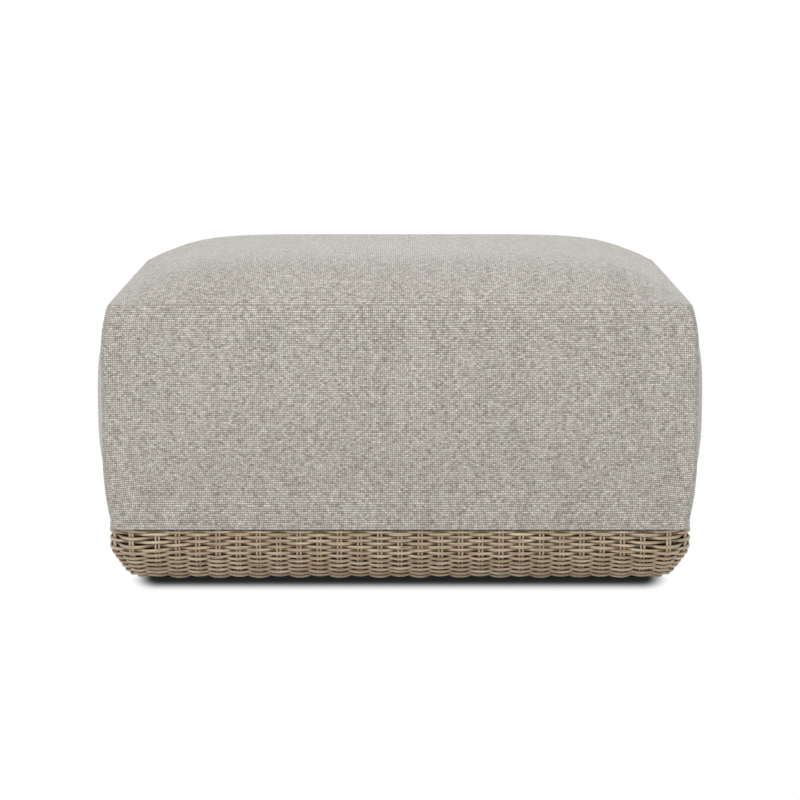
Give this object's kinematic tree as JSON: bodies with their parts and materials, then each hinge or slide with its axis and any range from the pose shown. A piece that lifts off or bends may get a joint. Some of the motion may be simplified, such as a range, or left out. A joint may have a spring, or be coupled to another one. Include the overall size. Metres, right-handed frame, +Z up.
{
  "type": "outdoor ottoman footstool",
  "caption": "Outdoor ottoman footstool: a tall crowned box cushion lying loose on a low rounded plinth of woven resin wicker over a welded frame, with levelling feet.",
  "frame": {"origin": "on the floor, under the middle of the ottoman", "axes": "+X along the long side, to the right; +Y from the front to the back; +Z up"},
  "size_m": [0.863, 0.685, 0.46],
  "materials": {
    "cushion_fabric": "matte",
    "foam": "matte",
    "zip_tape": "matte",
    "zip_metal": "satin",
    "frame_coat": "satin",
    "stud_zinc": "satin",
    "pad_nylon": "matte",
    "wicker": "satin"
  },
  "bodies": {
    "base": {"side_frame_front": "frame_coat", "side_frame_right": "frame_coat", "side_frame_back": "frame_coat", "side_frame_left": "frame_coat", "corner_casting_front_right": "frame_coat", "corner_casting_back_right": "frame_coat", "corner_casting_back_left": "frame_coat", "corner_casting_front_left": "frame_coat", "woven_row_01": "wicker", "woven_row_02": "wicker", "woven_row_03": "wicker", "woven_row_04": "wicker", "woven_row_05": "wicker", "woven_row_06": "wicker", "woven_row_07": "wicker", "woven_row_08": "wicker", "woven_row_09": "wicker", "woven_row_10": "wicker", "woven_row_11": "wicker", "woven_row_12": "wicker", "woven_row_13": "wicker", "woven_row_14": "wicker", "woven_row_15": "wicker", "woven_row_16": "wicker", "woven_row_17": "wicker", "woven_row_18": "wicker", "deck_slat_1": "frame_coat", "deck_slat_2": "frame_coat", "deck_slat_3": "frame_coat", "deck_slat_4": "frame_coat", "deck_slat_5": "frame_coat", "deck_slat_6": "frame_coat", "foot_plate_front_right": "frame_coat", "foot_plate_back_right": "frame_coat", "foot_plate_back_left": "frame_coat", "foot_plate_front_left": "frame_coat"},
    "cushion": {"cover_top_panel": "cushion_fabric", "cover_boxing": "cushion_fabric", "cover_bottom_panel": "cushion_fabric", "foam_core": "foam", "zip_chain": "zip_tape"},
    "zip_slider": {"zip_slider": "zip_metal"},
    "zip_pull": {"zip_pull": "zip_metal"},
    "glide_pad_front_right": {"glide_pad_front_right": "pad_nylon"},
    "glide_pad_back_right": {"glide_pad_back_right": "pad_nylon"},
    "glide_pad_back_left": {"glide_pad_back_left": "pad_nylon"},
    "glide_pad_front_left": {"glide_pad_front_left": "pad_nylon"},
    "glide_stud_front_right": {"glide_stud_front_right": "stud_zinc"},
    "glide_stud_back_right": {"glide_stud_back_right": "stud_zinc"},
    "glide_stud_back_left": {"glide_stud_back_left": "stud_zinc"},
    "glide_stud_front_left": {"glide_stud_front_left": "stud_zinc"}
  },
  "joints": [
    {"name": "cushion_lift", "type": "slide", "parent": "base", "child": "cushion", "axis": [0, 0, 1], "range_m": [0, 0.15]},
    {"name": "zip_slide", "type": "slide", "parent": "cushion", "child": "zip_slider", "axis": [1, 0, 0], "range_m": [0, 0.48]},
    {"name": "zip_pull_swing", "type": "hinge", "parent": "zip_slider", "child": "zip_pull", "pos_m": [-0.24, 0.3365, 0.1303], "axis": [0, 0, -1], "range_deg": [0, 170]},
    {"name": "foot_level_front_right", "type": "slide", "parent": "base", "child": "glide_pad_front_right", "axis": [0, 0, -1], "range_m": [0, 0.01]},
    {"name": "foot_level_back_right", "type": "slide", "parent": "base", "child": "glide_pad_back_right", "axis": [0, 0, -1], "range_m": [0, 0.01]},
    {"name": "foot_level_back_left", "type": "slide", "parent": "base", "child": "glide_pad_back_left", "axis": [0, 0, -1], "range_m": [0, 0.01]},
    {"name": "foot_level_front_left", "type": "slide", "parent": "base", "child": "glide_pad_front_left", "axis": [0, 0, -1], "range_m": [0, 0.01]},
    {"name": "stud_turn_front_right", "type": "hinge", "parent": "glide_pad_front_right", "child": "glide_stud_front_right", "pos_m": [0.3352, -0.2462, 0], "axis": [0, 0, -1], "range_deg": [0, 2880]},
    {"name": "stud_turn_back_right", "type": "hinge", "parent": "glide_pad_back_right", "child": "glide_stud_back_right", "pos_m": [0.3352, 0.2462, 0], "axis": [0, 0, -1], "range_deg": [0, 2880]},
    {"name": "stud_turn_back_left", "type": "hinge", "parent": "glide_pad_back_left", "child": "glide_stud_back_left", "pos_m": [-0.3352, 0.2462, 0], "axis": [0, 0, -1], "range_deg": [0, 2880]},
    {"name": "stud_turn_front_left", "type": "hinge", "parent": "glide_pad_front_left", "child": "glide_stud_front_left", "pos_m": [-0.3352, -0.2462, 0], "axis": [0, 0, -1], "range_deg": [0, 2880]}
  ],
  "couplings": [
    {"joint": "stud_turn_front_right", "follows": "foot_level_front_right", "rad_per_m": 5026.5},
    {"joint": "stud_turn_back_right", "follows": "foot_level_back_right", "rad_per_m": 5026.5},
    {"joint": "stud_turn_back_left", "follows": "foot_level_back_left", "rad_per_m": 5026.5},
    {"joint": "stud_turn_front_left", "follows": "foot_level_front_left", "rad_per_m": 5026.5}
  ]
}
